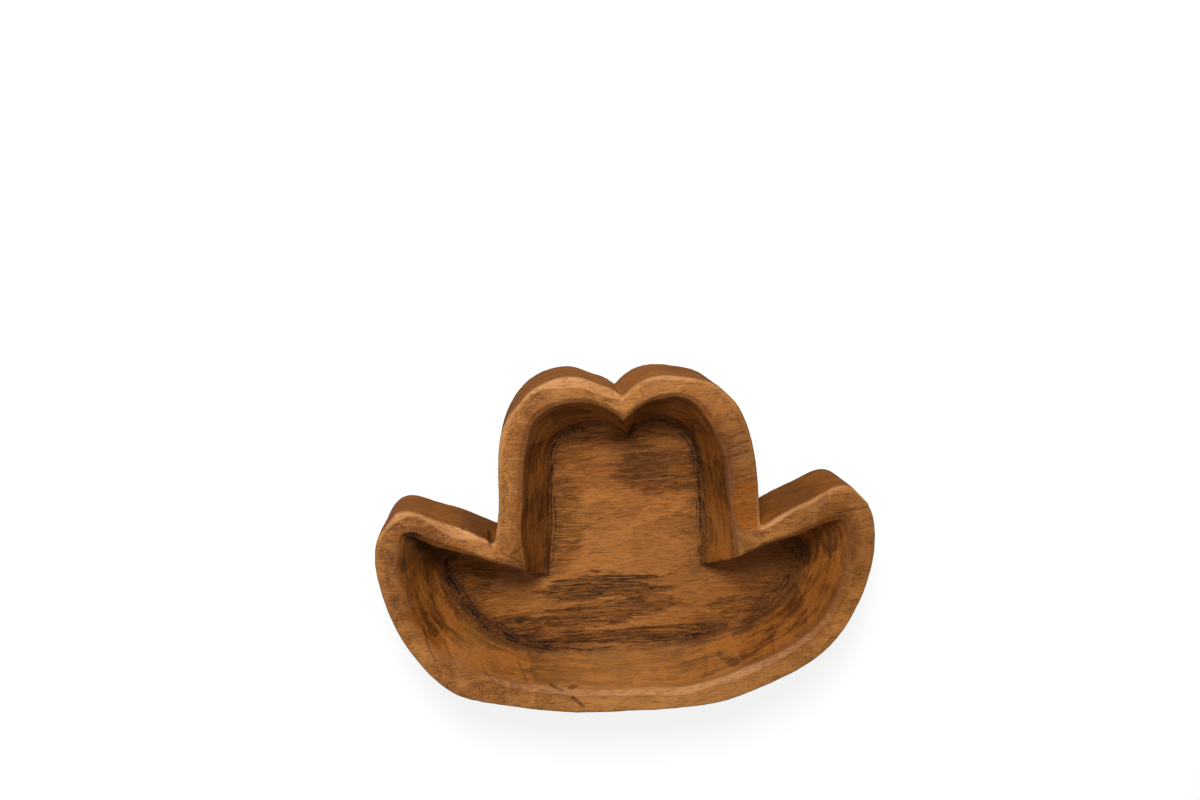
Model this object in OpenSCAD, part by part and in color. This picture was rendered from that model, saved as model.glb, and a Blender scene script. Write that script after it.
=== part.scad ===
// Hat-shaped dough bowl, carved from one block of wood.
// Seen from above it has the outline of a wide-brimmed hat: a crown with a pinched
// top, a notch on each side where the crown meets the brim, and a crescent brim.
// X runs across the brim, +Y points to the crown, +Z out of the opening.
// The origin is at the middle of the base.

/* [Overall size] */
// Width from brim tip to brim tip
bowl_w = 280; // [260:2:320]
// Length from the brim's foot to the top of the crown
bowl_l = 196; // [180:2:220]
// Height from the base to the rim
bowl_h = 56; // [48:1:70]

/* [Hat outline] */
// Width of the crown between its two notches
crown_w = 150; // [136:2:160]
// Length of the crown above the notches
crown_l = 91; // [84:1:98]
// How much narrower each side of the crown is at its shoulder
crown_taper = 5; // [0:0.5:8]
// Depth of the pinch in the top of the crown
pinch_d = 12; // [6:0.5:15]
// Rise of the brim from the notch to its tip
brim_rise = 22; // [14:1:25]
// Reach of each rounded brim tip
tip_reach = 20; // [16:1:26]

/* [Rim and walls] */
// Width of the rim, chamfer included
rim_w = 14.5; // [12:0.5:17]
// Width of the chamfer along the rim's inner edge
chamfer_w = 3; // [1:0.5:5]
// Depth of that chamfer
chamfer_d = 2.5; // [1:0.5:4]
// Radius that eases the rim's outer edge
rim_ease = 2.5; // [1:0.5:4]
// How far the outer wall draws in from the rim to the base
base_draw = 3; // [1:0.5:6]
// Radius of the edge round the base
base_ease = 3.5; // [1:0.5:5]

/* [Hollow] */
// Depth of the hollow below the rim
hollow_d = 38; // [30:1:42]
// How far the inner wall comes in from the rim to the floor
wall_run = 16; // [12:0.5:18]
// Share of the inner wall that the round at its foot takes up
foot_share = 0.16; // [0.08:0.02:0.24]

/* [Hidden] */

half_w = bowl_w / 2;
half_l = bowl_l / 2;
floor_z = bowl_h - hollow_d;
notch_y = half_l - crown_l;
shoulder_drop = 0.46 * crown_l;
hump_x = 0.2 * half_w;
tip_drop = 8;

// Steps along each curve of half an outline, from the pinch to the brim's foot
CURVE_STEPS = [7, 13, 13, 13, 10, 26];
// Steps of each eased edge, and of the round at the foot of the inner wall
EASE_STEPS = 4;
FOOT_STEPS = 5;

// The right half of the rim's outer edge passes through these corners and turning points:
// pinch, top of the hump, shoulder, notch, top of the brim, brim tip, foot of the brim.
OUTER_KNOTS = [
    [0, half_l - pinch_d],
    [hump_x, half_l],
    [crown_w / 2 - crown_taper, half_l - shoulder_drop],
    [crown_w / 2, notch_y],
    [half_w - tip_reach, notch_y + brim_rise],
    [half_w, notch_y - tip_drop],
    [0, -half_l]
];

// The way each of them moves for one rim width inwards, and then for one wall run inwards
RIM_WAYS = [[0, -1], [-0.1, -1], [-1, -0.4], [-1, -1.15], [0, -1.4], [-1, -0.3], [0, 1]];
WALL_WAYS = [[0, -1], [-0.6, -1.2], [-0.9, -0.5], [-1, -1], [-1.6, -1.05], [-1.35, -0.5], [0, 0.75]];

function moved(knots, ways, d) = [for (i = [0:len(knots) - 1]) knots[i] + d * ways[i]];

INNER_KNOTS = moved(OUTER_KNOTS, RIM_WAYS, rim_w);
FLOOR_KNOTS = moved(INNER_KNOTS, WALL_WAYS, wall_run);

// A point at t on the cubic curve from a to d, with the handles b and c
function cubic(a, b, c, d, t) =
    pow(1 - t, 3) * a + 3 * pow(1 - t, 2) * t * b + 3 * (1 - t) * t * t * c + pow(t, 3) * d;

// The two handles of each curve, which lie level at the top of the hump, the top of the
// brim and its foot, and upright at the tip, and run along the crown's side at the shoulder
function handles(k) =
    let (
        side = (k[2] - k[3]) / norm(k[2] - k[3]),
        shoulder = k[2] + side * 0.6 * (k[1].y - k[2].y)
    )
    [
        [[0.25 * k[1].x, k[0].y + 0.55 * (k[1].y - k[0].y)], [0.5 * k[1].x, k[1].y]],
        [[(k[1].x + k[2].x) / 2, k[1].y], shoulder],
        [k[2] + (k[3] - k[2]) / 3, k[3] + (k[2] - k[3]) / 3],
        [
            [k[3].x + 0.33 * (k[4].x - k[3].x), k[3].y + 0.35 * (k[4].y - k[3].y)],
            [k[4].x - 0.27 * (k[4].x - k[3].x), k[4].y]
        ],
        [[k[4].x + 0.6 * (k[5].x - k[4].x), k[4].y], [k[5].x, k[5].y + 0.53 * (k[4].y - k[5].y)]],
        [[k[5].x, k[5].y + 0.56 * (k[6].y - k[5].y)], [0.73 * k[5].x, k[6].y]]
    ];

// Half an outline, from the pinch to just short of the brim's foot
function half_outline(k) =
    let (h = handles(k))
    [
        for (s = [0:len(CURVE_STEPS) - 1], i = [0:CURVE_STEPS[s] - 1])
            cubic(k[s], h[s][0], h[s][1], k[s + 1], i / CURVE_STEPS[s])
    ];

// The whole outline, clockwise from the pinch
function outline(k) =
    let (right = half_outline(k))
    concat(right, [k[6]], [for (i = [len(right) - 1:-1:1]) [-right[i].x, right[i].y]]);

OUTER = outline(OUTER_KNOTS);
INNER = outline(INNER_KNOTS);
FLOOR = outline(FLOOR_KNOTS);

// A level outline at height z, the share s of the way from outline a to outline b
function ring(a, b, s, z) =
    [for (i = [0:len(a) - 1]) let (p = a[i] + s * (b[i] - a[i])) [p.x, p.y, z]];

// An outer ring, moved in from the rim's outer edge by d
function outer_ring(d, z) = ring(OUTER, INNER, d / rim_w, z);

// The outside, from the flat base up over its eased edges to the rim
OUTSIDE = concat(
    [
        for (i = [0:EASE_STEPS]) let (a = 90 * i / EASE_STEPS)
            outer_ring(base_draw + base_ease * (1 - sin(a)), base_ease * (1 - cos(a)))
    ],
    [
        for (i = [0:EASE_STEPS]) let (a = 90 * i / EASE_STEPS)
            outer_ring(rim_ease * (1 - cos(a)), bowl_h - rim_ease * (1 - sin(a)))
    ]
);

// The inside, from the rim down over the chamfer and the drafted wall to the floor
wall_top = bowl_h - chamfer_d;
wall_h = wall_top - floor_z;
INSIDE = concat(
    [outer_ring(rim_w - chamfer_w, bowl_h), ring(INNER, FLOOR, 0, wall_top)],
    [
        for (i = [0:FOOT_STEPS])
            let (t = i / FOOT_STEPS)
            ring(INNER, FLOOR, 1 + foot_share * (2 * t - 1), floor_z + foot_share * wall_h * pow(1 - t, 2))
    ]
);

// Places in an outline of its pinch, its right notch and the brim's foot
PINCH = 0;
NOTCH = CURVE_STEPS[0] + CURVE_STEPS[1] + CURVE_STEPS[2];
FOOT = len(OUTER) / 2;

// Two points on the middle line of a level outline, one in the crown and one in the brim,
// from which every edge of the crown and of the brim is in plain sight
function hubs(r) = [
    [0, (r[PINCH].y + r[NOTCH].y) / 2, r[0].z],
    [0, r[FOOT].y + 0.35 * (r[NOTCH].y - r[FOOT].y), r[0].z]
];

// Triangles that close a level outline which starts at point start, clockwise from above
function cap(start, n, crown_hub, brim_hub) = [
    for (i = [0:n - 1])
        let (
            a = start + i,
            b = start + (i + 1) % n,
            in_crown = i < NOTCH || i >= n - NOTCH
        )
        each [
            [in_crown ? crown_hub : brim_hub, a, b],
            if (i == NOTCH) [crown_hub, a, brim_hub],
            if (i == n - NOTCH) [brim_hub, a, crown_hub]
        ]
];

function flipped(faces) = [for (f = faces) [f[2], f[1], f[0]]];

// A closed solid whose skin passes through the rings in turn, with a flat face on each end
module loft(rings) {
    n = len(rings[0]);
    last = (len(rings) - 1) * n;
    hub = last + n;
    skin = [
        for (r = [0:len(rings) - 2], i = [0:n - 1])
            let (a = r * n + i, b = r * n + (i + 1) % n)
            each [[a, b, b + n], [a, b + n, a + n]]
    ];
    polyhedron(
        points = concat([for (r = rings) each r], hubs(rings[0]), hubs(rings[len(rings) - 1])),
        faces = concat(flipped(cap(0, n, hub, hub + 1)), skin, cap(last, n, hub + 2, hub + 3))
    );
}

// The bowl: solid base, upright outer wall, flat rim and hollow, all in one piece of wood
module bowl() {
    color("sienna")
        loft(concat(OUTSIDE, INSIDE));
}

bowl();
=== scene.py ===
"""Hat-shaped dough bowl, carved by hand from one block of wood, stained brown and waxed.

The bowl is one piece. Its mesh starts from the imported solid, is cut afresh as even small
faces, and is then worked as a carver works it: gouge facets, a wandering rim, torn grain on
the floor and knife lines in the corners. Lengths are in metres, in the frame of the part:
X across the brim, +Y to the crown, +Z out of the opening, the floor of the room at z = 0.
"""

import math

import bmesh
import bpy
import numpy as np
from mathutils import Matrix, Vector, kdtree, noise


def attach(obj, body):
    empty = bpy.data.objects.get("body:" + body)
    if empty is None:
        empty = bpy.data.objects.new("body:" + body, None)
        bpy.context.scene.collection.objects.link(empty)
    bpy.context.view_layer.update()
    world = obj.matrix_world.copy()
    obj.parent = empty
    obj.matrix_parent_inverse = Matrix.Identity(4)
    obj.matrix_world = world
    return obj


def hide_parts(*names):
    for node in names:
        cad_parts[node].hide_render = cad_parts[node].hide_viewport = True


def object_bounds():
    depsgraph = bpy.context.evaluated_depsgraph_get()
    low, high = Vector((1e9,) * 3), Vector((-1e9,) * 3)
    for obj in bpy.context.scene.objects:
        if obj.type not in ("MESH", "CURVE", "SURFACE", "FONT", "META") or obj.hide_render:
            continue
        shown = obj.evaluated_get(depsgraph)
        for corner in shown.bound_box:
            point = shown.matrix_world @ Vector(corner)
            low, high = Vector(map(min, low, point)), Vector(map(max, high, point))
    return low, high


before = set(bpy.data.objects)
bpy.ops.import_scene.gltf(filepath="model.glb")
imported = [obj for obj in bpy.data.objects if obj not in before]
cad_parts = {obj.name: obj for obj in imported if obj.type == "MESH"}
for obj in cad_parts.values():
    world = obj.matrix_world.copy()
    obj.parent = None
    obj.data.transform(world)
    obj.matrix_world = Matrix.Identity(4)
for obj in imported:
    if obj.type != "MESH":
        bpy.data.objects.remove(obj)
CAD_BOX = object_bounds()
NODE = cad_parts["bowl"]

bl_info = {
    "name": "Carved dough bowl",
    "version": (1, 0, 0),
    "blender": (4, 5, 0),
    "location": "3D View > Sidebar > Bowl",
    "description": "Carves, finishes and stages a hat-shaped dough bowl",
    "category": "Object",
}

MM = 0.001
BOWL = "carved_bowl"

# Masks that the carving leaves on the mesh for the finish to use; some of them lay painted light and
# shade
HOLLOW = "hollow"
RIM = "rim"
LIP_SHADE = "rim_lip_shade"
CORNER_SHADE = "foot"
CREASE = "crease"
GAP = "gap_to_crease"
TORN = "torn"
SCAR = "scar"
WORN_AND_HIGHLIGHT = "worn"
COARSE = "coarse"
CHAMFER_REFLECTION = "chamfer"
BEVEL_HIGHLIGHT = "bevel_highlight"
SPOT = "dark_spot"
TONE = "cut_tone"
STAIN_AND_SHADING = "stained"

# How the carver's hand strayed from a true outline, on the outer edge, the rim's inner edge and
# the floor's edge: place x and y, reach, and stray along x and y, all in mm
STRAYS = {
    "outer": [
        (-72, 26, 22, 2.2, 0),
        (74, 40, 24, 1.2, 0),
        (35, 97, 17, 0, -2.6),
        (-13, 94, 9, 0, -2.2),
        (-98, -80, 24, -2.4, -3.4),
        (-136, -32, 18, 1.2, 0),
        (131, -44, 16, -0.6, 0.2),
        (112, -72, 26, 1.0, -1.1),
        (45, -95, 30, 0, -2.4),
        (-104, 25, 14, 0, -2.6),
        (104, 25, 14, 0, -2.0),
    ],
    "inner": [
        (-47, 76, 12, -1.6, 1.6),
        (50, 66, 14, -2.0, -2.0),
        (62, -6, 20, 1.6, -0.5),
        (-60, -8, 12, 3.4, -1.2),
        (-106, -56, 14, -2.0, -0.6),
        (-125, -10, 12, 2.0, 0),
        (-120, 10, 11, -1.0, 5.0),
        (98, 4, 18, 0, -3.2),
        (30, -83, 30, 0, -2.8),
    ],
    "floor": [
        (-42, 20, 34, 2.6, 0),
        (43, 20, 40, 4.2, 0),
        (0, 56, 9, 5.0, -0.8),
        (-20, 64, 9, 3.0, -2.2),
        (-55, -67, 16, 0, -2.6),
        (-97, -38, 16, 4.0, 0),
        (104, -20, 12, 2.0, -3.0),
    ],
}

# Patches of torn grain on the floor: middle x and y, half width and half length, in mm, and depth 0 to 1
TORN_PATCHES = [
    (-14, -36, 36, 9, 1.0),
    (-20, -52, 34, 8, 0.8),
    (16, -46, 18, 7, 0.8),
    (20, 34, 24, 14, 0.55),
    (0, -66, 60, 5, 0.9),
    (-88, -24, 14, 11, 0.6),
    (-66, -56, 18, 7, 0.9),
    (70, -52, 22, 6, 0.5),
    (2, 56, 34, 6, 0.7),
    (-32, 4, 9, 26, 0.3),
]

# How much darker, above 0, or paler, below 0, the wood is: middle x and y, reach in mm, and amount.
# Mostly stain that the wood took; on the wall at the brim's bottom the pale patch is painted light, and
# on the floor at the right brim's end and on the wall under the left brim's edge the dark patches are
# painted shade
STAIN_AND_SHADING_PATCHES = {
    "rim": [
        (68, 50, 26, 0.65),
        (67, 20, 12, 0.3),
        (126, -8, 30, 0.5),
        (96, 16, 16, 0.2),
        (-127, -2, 7, 0.5),
        (-131, -26, 8, 0.4),
        (-118, -52, 14, -0.2),
        (20, -92, 70, -0.9),
        (-66, 40, 26, -0.15),
        (-30, 90, 22, -0.35),
        (34, 90, 24, -0.35),
        (-58, -4, 12, 0.5),
        (-108, 12, 12, 0.35),
    ],
    "wall": [
        # Painted light: the lit wall at the brim's bottom is paler
        (-10, -78, 55, -0.55),
        (-108, -40, 20, 0.15),
        # Painted shade under the left brim's overhanging edge, this and the next
        (-114, 1, 11, 1.2),
        (-106, -4, 8, 0.9),
        (0, 66, 30, -0.2),
        (-96, -58, 16, -0.35),
        (104, -44, 26, 0.4),
        (118, -12, 14, -0.2),
        (-50, 20, 40, 0.35),
        (92, 26, 26, 0.6),
        (-82, 14, 10, 0.6),
        (52, 40, 26, 0.4),
        (52, 6, 14, -0.35),
    ],
    "floor": [
        # Partly painted shade on the floor under the right brim's wall
        (86, -26, 22, 0.6),
        (-86, -30, 22, -0.05),
        (20, 36, 22, 0.5),
        (-20, 48, 14, 0.1),
        (-6, -44, 34, -0.4),
        (-24, 10, 22, -0.2),
        (26, -4, 26, -0.25),
        (58, -36, 16, -0.25),
        (-50, -34, 12, -0.2),
    ],
}

# How strongly the knife cut into the floor's edge, which also sets how much painted shade darkens the
# corner there, and how plainly the rim's chamfer was left: middle x and y, reach in mm, and strength
CREASE_PLACES = [
    (-104, -14, 13, 0.9),
    (-97, -36, 16, 0.7),
    (-80, -53, 14, 0.7),
    (-56, -68, 16, 0.9),
    (-28, -71, 14, 0.35),
    (8, -71, 20, 0.25),
    (44, -67, 16, 0.5),
    (78, -54, 14, 0.4),
    (93, -40, 12, 0.5),
    (103, -20, 12, 0.9),
    (5, 55, 10, 0.7),
    (-28, 60, 15, 0.8),
    (30, 62, 15, 0.9),
    (-40, 36, 18, 0.32),
    (47, 40, 14, 0.7),
    (48, 8, 20, 0.6),
    (49, -22, 12, 0.5),
    (-42, 8, 22, 0.33),
    (-42, -20, 9, 0.4),
]
CHAMFER_PLACES = [
    (56, 34, 26, 1.0),
    (60, -2, 14, 0.8),
    (121, -22, 18, 0.7),
    (104, -56, 22, 0.9),
    (64, -78, 26, 1.0),
    (14, -86, 28, 1.0),
    (-34, -81, 24, 0.9),
    (-78, -72, 20, 0.6),
    (-124, -12, 16, 0.4),
    (-30, 84, 14, 0.8),
    (-50, 66, 16, 0.9),
    (-56, 44, 16, 0.6),
    (26, 84, 16, 0.5),
]
# Where the rim's outer edge was planed off into a wide bevel that takes a painted highlight, where its
# inner chamfer
# takes a grey painted reflection, and where its inner edge was rolled over with a wide round:
# middle x and y, reach in mm, and strength
BEVEL_PLACES = [
    (-28, 97, 18, 1.0),
    (-8, 90, 10, 0.7),
    (-60, 70, 16, 0.3),
    (-74, 54, 22, 0.3),
    (26, 99, 14, 0.45),
    (-94, 18, 13, 1.0),
    (-126, 22, 12, 0.6),
    (84, 16, 14, 0.6),
    (40, -98, 50, 0.3),
]
REFLECTION_PLACES = [(57, 34, 20, 1.0), (62, 4, 14, 1.0), (-54, 52, 26, 0.5)]
ROLL_PLACES = [
    (0, 74, 12, 1.0),
    (34, 80, 16, 0.5),
    (-118, 4, 14, 0.8),
    (-60, -12, 12, 0.5),
    (-110, -50, 24, 0.5),
]

# Flats planed off the outer wall: x and y near its middle, reach in mm, the way it faces in degrees
# from +X, and depth in mm
FLATS = [
    (-132, 21, 16, 140, 1.5),
    (-139, -6, 22, 176, 0.2),
    (-104, 29, 16, 98, 0.5),
    (133, 22, 16, 42, 1.0),
    (139, -10, 22, 2, 0.1),
    (-60, 86, 16, 138, 0.9),
    (60, 86, 16, 46, 0.9),
]

# Dark spots, where the rim or wall is chipped or drank stain, and spots of painted shade in the left
# notch and under the left brim's overhanging edge: x, y, half width and half length in mm, and depth 0
# to 1
DARK_SPOTS = [
    # Painted shade under the left brim's overhanging edge, these three
    (-118, 9, 5.0, 3.0, 1.0),
    (-112, 3, 6.0, 5.5, 0.9),
    (-106, -4, 3.5, 5.0, 0.7),
    (-125, -4, 2.6, 4.0, 0.6),
    (-131, -24, 3.0, 4.5, 0.4),
    (-134, -8, 1.6, 5.0, 0.3),
    (0, 90, 1.2, 3.0, 0.7),
    # Painted shadow in the left notch
    (-77, 8, 1.4, 3.0, 0.7),
    (-34, -81, 3.0, 0.7, 0.6),
    (-57, -73, 6.0, 0.7, 0.4),
    (-70, 10, 3.5, 3.0, 0.3),
    (-1, 68, 2.0, 3.0, 0.7),
]

# Knife scars on the rim and the walls: start and end in mm, half width in mm, and how dark they are
RIM_SCARS = [
    (56, 34, 69, 38, 0.45, 0.0),
    (58, 54, 68, 57, 0.3, 0.8),
    (59, 60, 66, 62, 0.3, 0.7),
    (118, 13, 138, 15, 0.35, 0.8),
    (-74, -1, -60, -7, 0.3, 0.9),
    (-71, 2, -62, -4, 0.25, 0.9),
    (-35, -86, -29, -92, 0.6, 1.0),
    (122, -22, 131, -25, 0.4, 0.3),
    (-52, 84, -46, 90, 0.3, 0.4),
    (-115, -41, -109, -58, 0.3, 0.7),
    (-66, -66, -60, -76, 0.3, 0.6),
    (-47, -79, -40, -82, 0.35, 0.8),
    (-92, 17, -78, 11, 0.25, 0.6),
    (-67, 1, -58, 5, 0.25, 0.7),
    (55, 48, 68, 51, 0.3, 0.7),
    (-104, -50, -96, -66, 0.5, 0.2),
    (-84, -66, -74, -78, 0.4, 0.2),
]

# The patch of open orange grain on the rim: middle x and y, half width and half length, in mm
COARSE_PATCH = (67, 20, 9, 14)

# Share of hollow or rim above which a face takes the warmer of the two woods
WARM_FROM = 0.12
# Fewest points that a carved bowl can have
FEWEST_POINTS = 1000
# Half width of the paper floor, and how far it lies below the bowl
PAPER_REACH = 6.0
PAPER_DROP = 0.2 * MM
# Where the lamps hang, their widths, and the point that they are aimed at
KEY_PLACE = (-0.12, 0.80, 1.00)
KEY_SIZE = 0.45
FILL_PLACE = (-0.55, -0.25, 1.10)
FILL_SIZE = 0.9
LAMP_AIM = (0.0, 0.0, 0.03)
SENSOR_WIDTH = 36.0


def smoothstep(low, high, x):
    """0 below low, 1 above high, and a smooth rise between; low may be the larger one."""
    t = np.clip((x - low) / (high - low), 0.0, 1.0)
    return t * t * (3.0 - 2.0 * t)


def field(points, size, seed, octaves=1):
    """Smooth noise of about -1 to 1 at the points; size is its grain in metres along x, y and z."""
    spots = (points / np.array(size) + seed * 7.31).tolist()
    if octaves == 1:
        return np.array([noise.noise(p) for p in spots])
    return np.array([noise.fractal(p, 1.0, 2.0, octaves) for p in spots])


def facets(points, size, seed):
    """Gouge scoops: how high each point lies in its scoop, how far from the scoop's edge, and the
    tone of the scoop, 0 to 1."""
    spots = (points / np.array(size) + seed * 3.17).tolist()
    found = [noise.voronoi(p) for p in spots]
    near = np.array([gaps[:2] for gaps, _ in found])
    tone = np.array([noise.cell(middles[0]) for _, middles in found])
    return near[:, 0] ** 2, near[:, 1] - near[:, 0], tone


def section(mesh, z):
    """The closed outlines in which the level plane at z cuts the mesh, the widest one first."""
    bm = bmesh.new()
    bm.from_mesh(mesh)
    bmesh.ops.remove_doubles(bm, verts=bm.verts[:], dist=0.001 * MM)
    geometry = bm.verts[:] + bm.edges[:] + bm.faces[:]
    cut = bmesh.ops.bisect_plane(bm, geom=geometry, plane_co=(0, 0, z), plane_no=(0, 0, 1))
    left = {e for e in cut["geom_cut"] if isinstance(e, bmesh.types.BMEdge)}
    outlines = []
    while left:
        edge = left.pop()
        group, front = [edge], [edge]
        while front:
            for vert in front.pop().verts:
                for other in vert.link_edges:
                    if other in left:
                        left.remove(other)
                        group.append(other)
                        front.append(other)
        outlines.append([(e.verts[0].co.copy(), e.verts[1].co.copy()) for e in group])
    bm.free()
    if len(outlines) < 2:
        raise RuntimeError("the bowl was not cut into an outer and an inner outline")
    outlines.sort(key=lambda edges: -max(abs(a.x) for a, b in edges))
    return outlines


def distance_to(outline, points, step=0.7 * MM):
    """Level distance from each point to an outline."""
    samples = []
    for a, b in outline:
        count = max(1, math.ceil((b - a).length / step))
        samples += [a.lerp(b, i / count) for i in range(count)]
    tree = kdtree.KDTree(len(samples))
    for i, p in enumerate(samples):
        tree.insert((p.x, p.y, 0.0), i)
    tree.balance()
    return np.array([tree.find((x, y, 0.0))[2] for x, y in points[:, :2].tolist()])


def floor_height():
    """Height of the hollow's floor, under a point in the middle of the brim."""
    hit, floor_at, _, _ = NODE.ray_cast(Vector((0.0, -0.02, 1.0)), Vector((0.0, 0.0, -1.0)))
    if not hit:
        raise RuntimeError("no floor was found under the middle of the bowl")
    return floor_at.z


def recut(mesh, voxel):
    """A copy of the mesh in even small faces, with edges eased by about one face."""
    piece = bpy.data.objects.new(BOWL, mesh.copy())
    bpy.context.scene.collection.objects.link(piece)
    cutter = piece.modifiers.new("recut", "REMESH")
    cutter.mode = "VOXEL"
    cutter.voxel_size = voxel
    cutter.adaptivity = 0.0
    graph = bpy.context.evaluated_depsgraph_get()
    fresh = bpy.data.meshes.new_from_object(piece.evaluated_get(graph))
    piece.modifiers.clear()
    piece.data = fresh
    fresh.name = BOWL
    return piece


def segment_distance(points, x0, y0, x1, y1):
    """Level distance from each point to a straight stroke given in mm."""
    a = np.array([x0, y0]) * MM
    along = np.array([x1, y1]) * MM - a
    t = np.clip(((points[:, :2] - a) @ along) / (along @ along), 0.0, 1.0)
    return np.linalg.norm(points[:, :2] - a - t[:, None] * along, axis=1)


def oval(points, x, y, half_w, half_l):
    """How far each point lies from the middle of an oval given in mm, where 1 is its edge."""
    return np.hypot((points[:, 0] / MM - x) / half_w, (points[:, 1] / MM - y) / half_l)


def torn_mask(points):
    """Where the grain of the floor is torn, 0 to 1, with ragged ends along the grain."""
    ragged = field(points, (14 * MM, 2.2 * MM, 6 * MM), 11, 3)
    torn = np.zeros(len(points))
    for x, y, half_w, half_l, depth in TORN_PATCHES:
        reach = oval(points, x, y, half_w, half_l)
        torn = np.maximum(torn, depth * smoothstep(1.15, 0.75, reach + 0.38 * ragged))
    return torn


def gathered(points, places):
    """The sum at each point of soft round places, each with x, y and reach in mm and an amount."""
    total = np.zeros(len(points))
    for x, y, reach, amount in places:
        off = oval(points, x, y, reach, reach)
        total += amount * np.exp(-off * off)
    return total


def stain_and_shading_mask(points, rim, floor):
    """Stain, painted light and painted shade: how dark the wood is, 0 to 1, with 0.5 for plain wood."""
    shares = (("rim", rim), ("floor", floor), ("wall", (1 - rim) * (1 - floor)))
    total = sum(share * gathered(points, STAIN_AND_SHADING_PATCHES[zone]) for zone, share in shares)
    return np.clip(0.5 + 0.5 * total, 0.0, 1.0)


def stray(points, bumps):
    """How far the carver's hand strayed at each point, along x and y."""
    moved = np.zeros((len(points), 2))
    for x, y, reach, dx, dy in bumps:
        off = oval(points, x, y, reach, reach)
        moved += np.exp(-off * off)[:, None] * np.array([dx, dy]) * MM
    return moved


def plane_flats(moved, at, outer):
    """Cuts the flats off the outer wall."""
    for x, y, reach, angle, depth in FLATS:
        facing = np.array([math.cos(math.radians(angle)), math.sin(math.radians(angle))])
        near = outer * smoothstep(1.6, 1.0, oval(at, x, y, reach, reach))
        along = moved[:, :2] @ facing
        limit = along[near > 0.5].max() - depth * MM
        over = np.clip(along - limit, 0.0, None) * near
        moved[:, :2] -= over[:, None] * facing


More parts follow.
